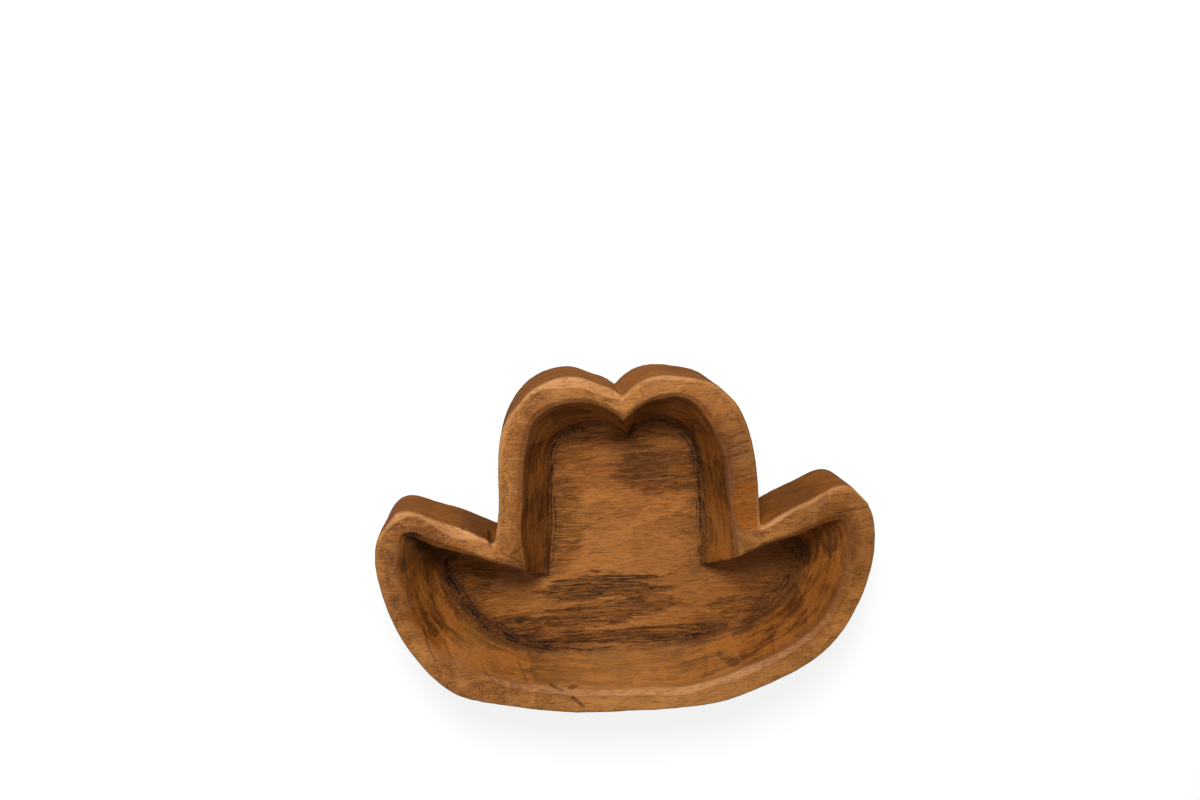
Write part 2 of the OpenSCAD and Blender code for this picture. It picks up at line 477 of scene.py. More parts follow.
def carve(piece, tools):
    """Works the mesh with the tools and leaves the masks on it."""
    mesh = piece.data
    count = len(mesh.vertices)
    flat = np.empty(count * 3)
    mesh.vertices.foreach_get("co", flat)
    at = flat.reshape(-1, 3).copy()
    mesh.vertices.foreach_get("normal", flat)
    out = flat.reshape(-1, 3).copy()

    rim_z = CAD_BOX[1].z
    floor_z = floor_height()
    upper = section(NODE.data, rim_z - 6 * MM)
    lower = section(NODE.data, floor_z + 0.6 * MM)
    to_outside = distance_to(upper[0], at)
    to_inside = distance_to(upper[1], at)
    to_foot = distance_to(lower[1], at)
    height = at[:, 2]

    depth = np.clip((rim_z - height) / (rim_z - floor_z), 0.0, 1.0)
    rim = smoothstep(rim_z - 3.5 * MM, rim_z - 1.2 * MM, height)
    hollow = smoothstep(8 * MM, 12 * MM, to_outside)
    hollow = hollow * smoothstep(floor_z - 9 * MM, floor_z - 4 * MM, height)
    wall = 1.0 - smoothstep(0.35, 0.8, np.abs(out[:, 2]))
    floor = hollow * smoothstep(floor_z + 6 * MM, floor_z + 1.5 * MM, height)
    base = smoothstep(-0.6, -0.95, out[:, 2])
    inner_wall = hollow * wall
    outer_wall = (1 - hollow) * wall
    push = np.zeros(count)

    # Every surface wanders a little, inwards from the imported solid
    wander = field(at, (34 * MM,) * 3, 1, 2)
    push += (1 - base) * (1 - floor) * tools.wander * (0.5 * wander - 0.05)
    # Wide flat cuts on the outer wall and the rim, upright flutes on the inner wall, and scoops
    # along the grain on the floor
    outer_cuts, _, outer_tone = facets(at, (26 * MM, 26 * MM, 60 * MM), 2)
    rim_cuts, rim_edges, rim_tone = facets(at, (21 * MM, 21 * MM, 60 * MM), 3)
    flutes, _, flute_tone = facets(at, (19 * MM, 19 * MM, 45 * MM), 4)
    scoops, _, scoop_tone = facets(at, (30 * MM, 13 * MM, 40 * MM), 5)
    push -= tools.gouge * 0.5 * outer_wall * (0.6 - outer_cuts)
    push -= tools.gouge * 1.8 * rim * (0.55 - rim_cuts) * np.clip(out[:, 2], 0, 1) ** 2
    push -= tools.gouge * 1.5 * inner_wall * (0.45 - flutes)
    push -= tools.gouge * 1.1 * floor * (0.4 - scoops)
    push += 0.12 * MM * (1 - base) * field(at, (4 * MM,) * 3, 12, 2)
    # Torn grain: fibres lifted and lost in long narrow streaks
    torn = torn_mask(at) * floor
    fibres = field(at, (13 * MM, 1.7 * MM, 3 * MM), 6, 3)
    push -= tools.torn * torn * (0.6 + 1.0 * fibres)
    # Knife cuts where the floor meets the wall: a line, a rough band beside it and stray second cuts
    near_floor = hollow * smoothstep(floor_z + 11 * MM, floor_z + 5 * MM, height)
    wobble = field(at, (7 * MM,) * 3, 8, 2) * MM
    rough = field(at, (5 * MM, 1.8 * MM, 2.2 * MM), 10, 3)
    strong = np.clip(gathered(at, CREASE_PLACES) + 0.25 * rough, 0.0, 1.0)
    line = smoothstep(1.5 * MM, 0.2 * MM, np.abs(to_foot + 0.7 * wobble))
    line = line * near_floor * (0.1 + 0.7 * strong)
    reach = (0.6 + 4.2 * strong) * MM
    band = np.clip(1.0 - (to_foot + 1.6 * MM * rough) / reach, 0.0, 1.0) * near_floor * strong
    second = smoothstep(0.7 * MM, 0.2 * MM, np.abs(to_foot - 4.4 * MM + 3 * wobble))
    second = second * near_floor * strong
    push -= tools.crease * (line + band * (0.3 + 0.9 * rough) + 0.4 * second)
    # Knife scars across the rim
    scar, dark_scar = np.zeros(count), np.zeros(count)
    on_top = smoothstep(rim_z - 24 * MM, rim_z - 18 * MM, height)
    for x0, y0, x1, y1, half_w, darkness in RIM_SCARS:
        stroke = segment_distance(at, x0, y0, x1, y1)
        cut = smoothstep(2.2 * half_w * MM, 0.4 * half_w * MM, stroke) * on_top
        scar = np.maximum(scar, cut)
        dark_scar = np.maximum(dark_scar, cut * darkness)
    push -= tools.scar * scar
    # Chips and stain spots, and the spots of painted shade, all pressed in as chips
    spot = np.zeros(count)
    for x, y, half_w, half_l, deep in DARK_SPOTS:
        off = oval(at, x, y, half_w, half_l)
        spot = np.maximum(spot, deep * smoothstep(1.3, 0.5, off + 0.3 * rough))
    spot *= smoothstep(rim_z - 34 * MM, rim_z - 22 * MM, height)
    push -= tools.chip * spot
    moved = at + out * push[:, None]
    # The rim's inner edge is rolled over; knife and plane took flat chamfers off both of its edges
    uneven = 0.7 * MM * field(at, (13 * MM,) * 3, 13, 2)
    lip = to_inside + uneven
    high = smoothstep(rim_z - 6 * MM, rim_z - 4 * MM, height)
    chamfered = np.clip(gathered(at, CHAMFER_PLACES), 0.0, 1.0)
    radius = tools.roll * (0.4 + 0.6 * np.clip(gathered(at, ROLL_PLACES), 0.0, 1.0))
    short = np.clip(radius - lip, 0.0, radius)
    lip_z = rim_z - (radius - np.sqrt(radius * radius - short * short))
    chamfer_cut = np.clip(tools.chamfer * (0.4 + 0.6 * chamfered) * (chamfered > 0.15) - lip, 0.0, None)
    bevelled = np.clip(gathered(at, BEVEL_PLACES), 0.0, 1.0)
    bevel_cut = np.clip(tools.bevel * bevelled - to_outside - uneven, 0.0, None)
    top = rim_z - np.maximum(0.75 * chamfer_cut, 0.6 * bevel_cut)
    top = np.minimum(lip_z, np.minimum(top, moved[:, 2]))
    moved[:, 2] = np.where(height > rim_z - 9 * MM, top, moved[:, 2])

    on_outside = smoothstep(11 * MM, 4 * MM, to_outside) * (1 - hollow) + (1 - rim) * (1 - hollow)
    on_outside = np.clip(on_outside, 0, 1)[:, None]
    moved[:, :2] += on_outside * stray(at, STRAYS["outer"])
    moved[:, :2] += (1 - on_outside) * (1 - depth)[:, None] * stray(at, STRAYS["inner"])
    moved[:, :2] += (1 - on_outside) * depth[:, None] * stray(at, STRAYS["floor"])
    plane_flats(moved, at, on_outside[:, 0])
    moved = np.clip(moved, np.array(CAD_BOX[0]), np.array(CAD_BOX[1]))
    mesh.vertices.foreach_set("co", moved.ravel())
    mesh.update()
    mesh.shade_smooth()

    topmost = smoothstep(rim_z - 4 * MM, rim_z - 1 * MM, height)
    rim_edge = smoothstep(3.0 * MM, 0.4 * MM, to_outside) * topmost
    planed = smoothstep(0.0, 0.5 * MM, bevel_cut) * high
    grey = np.clip(gathered(at, REFLECTION_PLACES), 0.0, 1.0)
    near_top = smoothstep(rim_z - 8 * MM, rim_z - 3 * MM, height)
    # Some masks lay painted light and shade: shade at the lip and in the corner, highlight on worn edges
    # and bevels, a reflection on the chamfer, and light and shade among the stain patches
    masks = {
        HOLLOW: hollow,
        RIM: rim * (1 - near_floor),
        LIP_SHADE: smoothstep(2 * MM, 13 * MM, to_outside) * near_top,
        CORNER_SHADE: smoothstep(12 * MM, 0.0, to_foot + 3 * MM * rough) * near_floor * (0.2 + 0.8 * strong),
        CREASE: strong * near_floor,
        GAP: np.clip(to_foot / MM, 0, 20) + 20 * (1 - near_floor),
        TORN: torn,
        SCAR: dark_scar,
        WORN_AND_HIGHLIGHT: np.clip(0.45 * rim_edge + 0.35 * rim * smoothstep(0.12, 0.0, rim_edges), 0, 1),
        CHAMFER_REFLECTION: smoothstep(0.0, 0.5 * MM, chamfer_cut) * high * (0.35 + 0.65 * grey),
        BEVEL_HIGHLIGHT: planed,
        SPOT: spot,
        TONE: 0.5 + (rim_tone - 0.5) * rim * 0.5 + (scoop_tone - 0.5) * floor * 0.5
        + (flute_tone - 0.5) * inner_wall * 0.7 + (outer_tone - 0.5) * outer_wall * 0.25,
        STAIN_AND_SHADING: stain_and_shading_mask(at, rim, floor),
        COARSE: smoothstep(1.2, 0.8, oval(at, *COARSE_PATCH)) * rim,
    }
    for name, values in masks.items():
        layer = mesh.attributes.new(name, "FLOAT", "POINT")
        layer.data.foreach_set("value", values.astype(np.float32))


def place(tree, kind, inputs=None, **settings):
    """Adds a node; inputs maps a socket's name or number to a value or to another socket."""
    made = tree.nodes.new(kind)
    for key, value in settings.items():
        setattr(made, key, value)
    for key, value in (inputs or {}).items():
        if isinstance(value, bpy.types.NodeSocket):
            tree.links.new(value, made.inputs[key])
        else:
            made.inputs[key].default_value = value
    return made


def calc(tree, operation, a, b=0.0, clamp=False):
    """The result of one step of arithmetic."""
    return place(tree, "ShaderNodeMath", {0: a, 1: b}, operation=operation, use_clamp=clamp).outputs[0]


def blend(tree, share, a, b, way="MIX"):
    """Colour a with colour b laid over it by a share."""
    inputs = {0: share, 6: a, 7: b}
    made = place(tree, "ShaderNodeMix", inputs, data_type="RGBA", blend_type=way, clamp_factor=True)
    return made.outputs[2]


def ramp(tree, value, low, high, to_low=0.0, to_high=1.0):
    """The value moved from one range to another, and held at its ends."""
    inputs = {0: value, 1: low, 2: high, 3: to_low, 4: to_high}
    return place(tree, "ShaderNodeMapRange", inputs, clamp=True).outputs[0]


def cloud(tree, where, scale, detail=2.0, roughness=0.5):
    """Smooth noise of 0 to 1 at a place."""
    inputs = {"Vector": where, "Scale": scale, "Detail": detail, "Roughness": roughness}
    return place(tree, "ShaderNodeTexNoise", inputs).outputs[0]


def scaled(tree, where, scale):
    """A place stretched by a different amount along each axis."""
    return place(tree, "ShaderNodeMapping", {"Vector": where, "Scale": scale}).outputs[0]


def mask(tree, name):
    """A mask that the carving left on the mesh."""
    return place(tree, "ShaderNodeAttribute", attribute_name=name).outputs["Fac"]


def new_group(name, inputs, outputs):
    """An empty shader node group: inputs maps names to defaults, outputs lists names."""
    group = bpy.data.node_groups.new(name, "ShaderNodeTree")
    for socket, default in inputs.items():
        kind = "NodeSocketVector" if socket == "Place" else "NodeSocketFloat"
        made = group.interface.new_socket(socket, in_out="INPUT", socket_type=kind)
        if socket != "Place":
            made.default_value = default
    for socket in outputs:
        group.interface.new_socket(socket, in_out="OUTPUT", socket_type="NodeSocketFloat")
    source = group.nodes.new("NodeGroupInput").outputs
    return group, source, group.nodes.new("NodeGroupOutput").inputs


def growth_rings_group():
    """Growth rings of a log that lies along X, seen wherever the surface cuts them."""
    inputs = {"Place": None, "Ring width": 0.004, "Pith depth": 0.09, "Wander": 0.010}
    tree, source, result = new_group("growth_rings", inputs, ["Late wood"])
    slow = cloud(tree, scaled(tree, source["Place"], (5.0, 14.0, 14.0)), 1.0, 3.0)
    parts = place(tree, "ShaderNodeSeparateXYZ", {0: source["Place"]}).outputs
    depth = calc(tree, "ADD", parts["Z"], source["Pith depth"])
    side = calc(tree, "ADD", parts["Y"], calc(tree, "MULTIPLY", parts["X"], 0.06))
    squares = calc(tree, "ADD", calc(tree, "POWER", depth, 2.0), calc(tree, "POWER", side, 2.0))
    stray_by = calc(tree, "MULTIPLY", calc(tree, "SUBTRACT", slow, 0.5), source["Wander"])
    radius = calc(tree, "ADD", calc(tree, "SQRT", squares), stray_by)
    turn = calc(tree, "FRACT", calc(tree, "DIVIDE", radius, source["Ring width"]))
    rise = ramp(tree, turn, 0.35, 0.92)
    fall = ramp(tree, turn, 0.92, 1.0, 1.0, 0.0)
    tree.links.new(calc(tree, "MULTIPLY", rise, fall), result["Late wood"])
    return tree


def fibre_group():
    """Fibres, pores, streaks and thin broken cracks that run along X."""
    inputs = {"Place": None, "Fineness": 1.0}
    tree, source, result = new_group("wood_fibre", inputs, ["Fibre", "Pores", "Streaks", "Cracks"])
    bent = cloud(tree, scaled(tree, source["Place"], (14.0, 40.0, 40.0)), 1.0, 2.0)
    shift = calc(tree, "MULTIPLY", calc(tree, "SUBTRACT", bent, 0.5), 0.008)
    aside = place(tree, "ShaderNodeCombineXYZ", {1: shift}).outputs[0]
    inputs = {0: source["Place"], 1: aside}
    wavy = place(tree, "ShaderNodeVectorMath", inputs, operation="ADD").outputs[0]
    inputs = {0: wavy, 3: source["Fineness"]}
    sized = place(tree, "ShaderNodeVectorMath", inputs, operation="SCALE").outputs[0]
    fibre = cloud(tree, scaled(tree, sized, (40.0, 900.0, 900.0)), 1.0, 3.0, 0.75)
    pores = cloud(tree, scaled(tree, sized, (170.0, 1200.0, 1200.0)), 1.0, 1.0)
    long_streaks = cloud(tree, scaled(tree, sized, (9.0, 160.0, 160.0)), 1.0, 5.0, 0.65)
    flecks = cloud(tree, scaled(tree, sized, (85.0, 900.0, 900.0)), 1.0, 4.0, 0.8)
    streaks = calc(tree, "MULTIPLY", long_streaks, 0.38)
    streaks = calc(tree, "ADD", streaks, calc(tree, "MULTIPLY", flecks, 0.62))
    coarse = crack_lines(tree, scaled(tree, sized, (18.0, 430.0, 430.0)), 0.008, 0.034)
    fine = crack_lines(tree, scaled(tree, sized, (30.0, 950.0, 950.0)), 0.02, 0.075)
    broken = cloud(tree, scaled(tree, sized, (45.0, 150.0, 150.0)), 1.0, 1.0)
    cracks = calc(tree, "MAXIMUM", calc(tree, "MULTIPLY", coarse, ramp(tree, broken, 0.50, 0.58)),
                  calc(tree, "MULTIPLY", fine, ramp(tree, broken, 0.62, 0.42, 0.2, 0.9)))
    tree.links.new(fibre, result["Fibre"])
    tree.links.new(ramp(tree, pores, 0.56, 0.66), result["Pores"])
    tree.links.new(streaks, result["Streaks"])
    tree.links.new(cracks, result["Cracks"])
    return tree


def crack_lines(tree, where, core, edge):
    """Thin lines along which smooth noise passes through its middle value."""
    waves = cloud(tree, where, 1.0, 2.0, 0.6)
    return ramp(tree, calc(tree, "ABSOLUTE", calc(tree, "SUBTRACT", waves, 0.5)), core, edge, 1.0, 0.0)


def stain_group():
    """How much stain the wood has drunk, in clouds."""
    inputs = {"Place": None, "Cloud size": 0.03, "Unevenness": 0.5}
    tree, source, result = new_group("stain_depth", inputs, ["Depth"])
    size = calc(tree, "DIVIDE", 1.0, source["Cloud size"])
    patches = cloud(tree, source["Place"], size, 4.0, 0.6)
    uneven = calc(tree, "MULTIPLY", calc(tree, "SUBTRACT", patches, 0.5), source["Unevenness"])
    tree.links.new(calc(tree, "MULTIPLY", uneven, 3.5, True), result["Depth"])
    return tree


def group_node(tree, group, **inputs):
    """A node group placed in a material with its own values."""
    made = place(tree, "ShaderNodeGroup", node_tree=group)
    for name, value in inputs.items():
        socket = made.inputs[name.replace("_", " ").capitalize()]
        if isinstance(value, bpy.types.NodeSocket):
            tree.links.new(value, socket)
        else:
            socket.default_value = value
    return made.outputs


def overlay(tree, body, paint, *shares):
    """A colour with paint laid over it by the product of the shares."""
    share = shares[0]
    for other in shares[1:]:
        share = calc(tree, "MULTIPLY", share, other)
    return blend(tree, share, body, tuple(paint))


def wood(name, groups, look, inside):
    """Stained and waxed wood, with painted light and shade in places; inside is True for the hollow and
    the rim, which are warmer.
    """
    material = bpy.data.materials.new(name)
    material.use_nodes = True
    tree = material.node_tree
    tree.nodes.clear()
    where = place(tree, "ShaderNodeTexCoord").outputs["Object"]
    rings = group_node(tree, groups["rings"], place=where, ring_width=look.ring_width, wander=0.012)
    fibre = group_node(tree, groups["fibre"], place=where, fineness=1.0)
    stain = group_node(tree, groups["stain"], place=where, cloud_size=0.030, unevenness=0.6)
    speckle = cloud(tree, where, 800.0, 3.0, 0.75)
    torn, crease, scar = mask(tree, TORN), mask(tree, CREASE), mask(tree, SCAR)
    normal = place(tree, "ShaderNodeNewGeometry").outputs["Normal"]
    level = ramp(tree, place(tree, "ShaderNodeSeparateXYZ", {0: normal}).outputs["Z"], 0.45, 0.85)
    upright = calc(tree, "SUBTRACT", 1.0, level)
    tone = ramp(tree, mask(tree, TONE), 0.0, 1.0, -0.35, 0.35)

    # The tool's strokes on the walls run level, along the rim
    strokes = cloud(tree, scaled(tree, where, (38.0, 38.0, 300.0)), 1.0, 4.0, 0.65)
    fine_fibre = ramp(tree, fibre["Fibre"], 0.3, 0.7, -0.12, 0.12)
    grain = ramp(tree, calc(tree, "ADD", fibre["Streaks"], fine_fibre), 0.26, 0.86)
    figure = grain
    if inside:
        mottle = cloud(tree, scaled(tree, where, (75.0, 110.0, 110.0)), 1.0, 6.0, 0.75)
        mottle = ramp(tree, mottle, 0.40, 0.62, -0.07, 0.68)
        hand_strokes = ramp(tree, strokes, 0.38, 0.62, -0.40, 0.60)
        patches = ramp(tree, cloud(tree, where, 55.0, 3.0, 0.5), 0.40, 0.62)
        wall_figure = calc(tree, "ADD", calc(tree, "MULTIPLY", patches, 0.40), hand_strokes)
        wall_figure = calc(tree, "ADD", wall_figure, calc(tree, "MULTIPLY", mottle, 0.60))
        figure = place(tree, "ShaderNodeMix", {0: upright, 2: grain, 3: wall_figure}).outputs[0]
    figure = calc(tree, "ADD", figure, calc(tree, "MULTIPLY", rings["Late wood"], 0.15))
    figure = calc(tree, "ADD", figure, tone, True)
    figure = calc(tree, "ADD", figure, ramp(tree, speckle, 0.35, 0.65, -0.16, 0.22), True)

    if inside:
        on_rim = mask(tree, RIM)
        body = blend(tree, figure, tuple(look.light), tuple(look.middle))
        walls = blend(tree, figure, tuple(look.wall), tuple(look.wall_streak))
        body = blend(tree, upright, body, walls)
        rim_figure = calc(tree, "ADD", calc(tree, "MULTIPLY", grain, 0.25), mottle)
        rim_figure = calc(tree, "ADD", rim_figure, tone)
        rim_figure = calc(tree, "ADD", rim_figure, ramp(tree, speckle, 0.38, 0.62, -0.35, 0.5), True)
        rims = blend(tree, rim_figure, tuple(look.rim), tuple(look.rim_streak))
        body = blend(tree, on_rim, body, rims)
        # Painted reflection: the chamfer inside the rim is lightened to grey
        chamfer = calc(tree, "MULTIPLY", mask(tree, CHAMFER_REFLECTION), ramp(tree, speckle, 0.3, 0.6, 0.6, 0.95))
        body = overlay(tree, body, look.chamfer, chamfer)
        blots = group_node(tree, groups["stain"], place=where, cloud_size=0.009, unevenness=0.9)
        body = overlay(tree, body, look.middle, on_rim, blots["Depth"], 0.7)
        # Painted shade: the rim and the top of the inner wall darken towards the rim's inner lip
        body = overlay(tree, body, look.middle, ramp(tree, mask(tree, LIP_SHADE), 0.45, 1.0), 0.75)
        # Painted shade: a soft dark band in the corner where the floor meets the wall
        body = overlay(tree, body, look.torn, mask(tree, CORNER_SHADE), ramp(tree, grain, 0.0, 1.0, 0.3, 0.9))
        open_grain = ramp(tree, speckle, 0.4, 0.6, 0.6, 0.95)
        body = overlay(tree, body, look.coarse, mask(tree, COARSE), open_grain)
    else:
        lines = cloud(tree, scaled(tree, where, (6.0, 260.0, 260.0)), 1.0, 4.0, 0.6)
        lines = ramp(tree, lines, 0.38, 0.64, -0.1, 0.5)
        figure = calc(tree, "ADD", calc(tree, "MULTIPLY", figure, 0.6), lines, True)
        body = blend(tree, figure, tuple(look.outside), tuple(look.outside_streak))
    # Painted highlight on the planed bevels of the rim's outer edge
    body = overlay(tree, body, look.bevel, mask(tree, BEVEL_HIGHLIGHT), ramp(tree, speckle, 0.4, 0.6, 0.7, 0.95))
    # Worn pale edges, partly a painted highlight along the rim's outer edge and the edges of its facets
    body = overlay(tree, body, look.worn, mask(tree, WORN_AND_HIGHLIGHT), ramp(tree, speckle, 0.4, 0.6, 0.35, 0.75))
    body = overlay(tree, body, look.middle, stain["Depth"], 0.6)
    # Patches darker or paler than plain wood: stain, with painted light and painted shade at some of
    # them
    stained = mask(tree, STAIN_AND_SHADING)
    body = overlay(tree, body, look.torn, ramp(tree, stained, 0.5, 1.0), 0.8)
    body = overlay(tree, body, look.pale, ramp(tree, stained, 0.5, 0.0), 0.8)
    body = overlay(tree, body, look.dark, fibre["Pores"], 0.30, ramp(tree, upright, 0.0, 1.0, 1.0, 0.4))
    # Torn patches drank more stain, up to a crisp ragged edge
    ragged = cloud(tree, scaled(tree, where, (60.0, 200.0, 200.0)), 1.0, 3.0, 0.6)
    ragged = ramp(tree, ragged, 0.3, 0.7, -0.25, 0.25)
    patch = ramp(tree, calc(tree, "ADD", torn, ragged), 0.36, 0.42)
    body = overlay(tree, body, look.middle, patch, 0.38)
    body = overlay(tree, body, look.torn, torn, ramp(tree, fibre["Streaks"], 0.45, 0.60, 0.0, 0.28))
    cracked = calc(tree, "MULTIPLY", torn, 0.78)
    cracked = calc(tree, "ADD", cracked, calc(tree, "MULTIPLY", level, 0.13), True)
    body = overlay(tree, body, look.dark, fibre["Cracks"], cracked)
    if inside:
        # Painted shade round the floor's edge: a soft dark band out to 7.5 mm from the crease and a
        # darker band within 3 mm of it; the thin dark lines along the crease are partly the knife's
        # marks and partly painted shade
        flecks = cloud(tree, scaled(tree, where, (260.0, 620.0, 620.0)), 1.0, 3.0, 0.7)
        wander = cloud(tree, where, 26.0, 1.5, 0.4)
        gap = calc(tree, "ADD", mask(tree, GAP), ramp(tree, wander, 0.3, 0.7, -1.4, 1.4))
        near = calc(tree, "MULTIPLY", ramp(tree, gap, 0.0, 7.5, 1.0, 0.0), ramp(tree, crease, 0.0, 0.7))
        body = overlay(tree, body, look.torn, near, ramp(tree, flecks, 0.40, 0.60, 0.12, 0.62))
        band = ramp(tree, flecks, 0.38, 0.60, 0.1, 0.85)
        beside = ramp(tree, gap, 0.2, 3.0, 1.0, 0.0)
        body = overlay(tree, body, look.dark, beside, ramp(tree, crease, 0.45, 1.1), band)
        for offset, seen_from in ((0.3, 0.42), (1.7, 0.50), (3.1, 0.54), (4.8, 0.57)):
            off_line = calc(tree, "ABSOLUTE", calc(tree, "SUBTRACT", gap, offset))
            line = ramp(tree, off_line, 0.14, 0.42, 1.0, 0.0)
            held = cloud(tree, scaled(tree, where, (70.0 + 9.0 * offset,) * 3), 1.0, 1.0)
            deep = ramp(tree, crease, 0.05 + 0.14 * offset, 0.35 + 0.14 * offset)
            kept = calc(tree, "MULTIPLY", ramp(tree, held, seen_from, seen_from + 0.05), deep)
            body = overlay(tree, body, look.dark, line, kept, 0.92)
    body = overlay(tree, body, look.dark, scar, 0.8)
    # Dark spots: chips and stain, and painted shade in the left notch and under the left brim's edge
    body = overlay(tree, body, look.dark, mask(tree, SPOT), ramp(tree, speckle, 0.35, 0.6, 0.75, 1.0))

    relief = calc(tree, "MULTIPLY", fibre["Fibre"], 0.35)
    relief = calc(tree, "ADD", relief, calc(tree, "MULTIPLY", speckle, 0.4))
    relief = calc(tree, "SUBTRACT", relief, calc(tree, "MULTIPLY", fibre["Pores"], 0.25))
    lifted = calc(tree, "SUBTRACT", fibre["Streaks"], calc(tree, "MULTIPLY", fibre["Cracks"], 0.8))
    broken = calc(tree, "ADD", torn, crease, True)
    torn_relief = calc(tree, "MULTIPLY", calc(tree, "MULTIPLY", lifted, broken), 3.0)
    relief = calc(tree, "ADD", relief, torn_relief)
    wall_relief = calc(tree, "MULTIPLY", calc(tree, "MULTIPLY", strokes, upright), 0.8)
    relief = calc(tree, "ADD", relief, wall_relief)
    fine_relief = {"Height": relief, "Strength": 0.8, "Distance": 0.6 * MM}
    bump = place(tree, "ShaderNodeBump", fine_relief).outputs[0]
    dull = calc(tree, "MULTIPLY", stain["Depth"], 0.3)
    dull = calc(tree, "ADD", dull, calc(tree, "MULTIPLY", broken, 0.6))
    roughness = ramp(tree, dull, 0.0, 0.8, 0.45, 0.8)
    shine = 0.20 if inside else 0.05
    surface = {"Base Color": body, "Roughness": roughness, "Normal": bump, "Specular IOR Level": shine}
    shader = place(tree, "ShaderNodeBsdfPrincipled", surface)
    place(tree, "ShaderNodeOutputMaterial", {"Surface": shader.outputs[0]})
    return material


def stage_material(name, colour, lift):
    """Pale paper that keeps the bowl's shadow, lifted to white for the camera."""
    material = bpy.data.materials.new(name)
    material.use_nodes = True
    tree = material.node_tree
    tree.nodes.clear()
    rays = place(tree, "ShaderNodeLightPath").outputs
    matt = place(tree, "ShaderNodeBsdfDiffuse", {"Color": tuple(colour) + (1.0,)})
    added = calc(tree, "MULTIPLY", rays["Is Camera Ray"], lift)
    glow = place(tree, "ShaderNodeEmission", {"Color": (1.0, 1.0, 1.0, 1.0), "Strength": added})
    both = place(tree, "ShaderNodeAddShader", {0: matt.outputs[0], 1: glow.outputs[0]})
    # From below the paper is clear, and it lets light through to the base, so that the base can be
    # looked at
    close = calc(tree, "LESS_THAN", rays["Ray Length"], 2 * MM)
    close = calc(tree, "MULTIPLY", close, rays["Is Diffuse Ray"])
    below = calc(tree, "MAXIMUM", place(tree, "ShaderNodeNewGeometry").outputs["Backfacing"], close)
    clear = place(tree, "ShaderNodeBsdfTransparent").outputs[0]
    paper = place(tree, "ShaderNodeMixShader", {0: below, 1: both.outputs[0], 2: clear})
    place(tree, "ShaderNodeOutputMaterial", {"Surface": paper.outputs[0]})
    return material


def colour(label, note, value):
    """A colour setting."""
    return bpy.props.FloatVectorProperty(
        name=label, description=note, default=value + (1.0,), size=4, subtype="COLOR", min=0.0, max=1.0
    )


def length(label, note, value):
    """A length setting, in metres."""
    return bpy.props.FloatProperty(
        name=label, description=note, default=value, min=0.0, unit="LENGTH", precision=5
    )


def strength(label, note, value, unit="NONE"):
    """A strength setting, in watts for a lamp."""
    return bpy.props.FloatProperty(name=label, description=note, default=value, min=0.0, unit=unit)


class BowlTools(bpy.types.PropertyGroup):
    """How deep the carver's tools cut"""
    voxel: length("Face size", "Size of the small faces that the bowl is cut into", 0.8 * MM)
    wander: length("Wander", "How far the outline strays from a true one", 0.9 * MM)
    gouge: length("Gouge depth", "Depth of the facets that the gouge leaves", 0.9 * MM)
    torn: length("Torn grain depth", "Depth of the torn grain on the floor", 0.6 * MM)
    crease: length("Crease depth", "Depth of the knife lines round the floor", 1.3 * MM)
    scar: length("Scar depth", "Depth of the knife scars on the rim", 0.4 * MM)
    roll: length("Lip roll", "Radius to which the rim's inner edge is rolled over", 6.5 * MM)
    chamfer: length("Chamfer", "Width of the flat chamfers on the rim's inner edge", 5.0 * MM)
    bevel: length("Bevel", "Width of the flat bevels on the rim's outer edge", 6.0 * MM)
    chip: length("Chip depth", "Depth of the dark chips", 0.8 * MM)


class BowlLook(bpy.types.PropertyGroup):
    """Colours and figure of the wood, and the painted light and shade laid on it"""
    light: colour("Light wood", "Early wood under the stain", (0.40, 0.140, 0.024))
    # The middle colour also paints the shade that darkens the rim towards its inner lip
    middle: colour("Middle wood", "Late wood, streaks and stain clouds", (0.20, 0.060, 0.008))
    # The dark colour also paints shade beside the crease round the floor and the spots of shade by the
    # left brim
    dark: colour("Dark stain", "Stain pooled in corners, pores and cracks", (0.020, 0.007, 0.003))
    # The torn colour also paints shade in the corner round the floor and on the dark shaded patches
    torn: colour("Torn grain", "Wood that drank much stain", (0.085, 0.026, 0.004))
    # The pale colour also paints light on the lit wall at the brim's bottom
    pale: colour("Pale wood", "Wood that drank little stain", (0.50, 0.215, 0.055))
    wall: colour("Inner wall", "Wood of the hollow's walls", (0.33, 0.108, 0.016))
    wall_streak: colour("Wall streaks", "Strokes on the hollow's walls", (0.080, 0.024, 0.0035))
    rim: colour("Rim", "Waxed wood of the rim", (0.41, 0.156, 0.034))
    rim_streak: colour("Rim streaks", "Streaks and patches of the rim", (0.155, 0.050, 0.008))
    # A painted reflection: the chamfer is given a grey colour
    chamfer: colour("Chamfer", "Dull wood of the chamfer inside the rim", (0.34, 0.190, 0.115))
    # A painted highlight on the planed bevels
    bevel: colour("Bevel", "Wood where the rim's outer edge was planed off", (0.46, 0.200, 0.066))
    # Partly a painted highlight along the rim's outer edge and its facets' edges
    worn: colour("Worn edges", "Edges worn pale by hands", (0.62, 0.285, 0.080))
    coarse: colour("Coarse patch", "Open orange grain on the crown's right rim", (0.36, 0.100, 0.002))
    outside: colour("Outside", "Wood of the outer wall", (0.42, 0.140, 0.019))
    outside_streak: colour("Outside streaks", "Streaks of the outer wall", (0.20, 0.062, 0.008))
    ring_width: length("Ring width", "Width of one growth ring", 4.5 * MM)


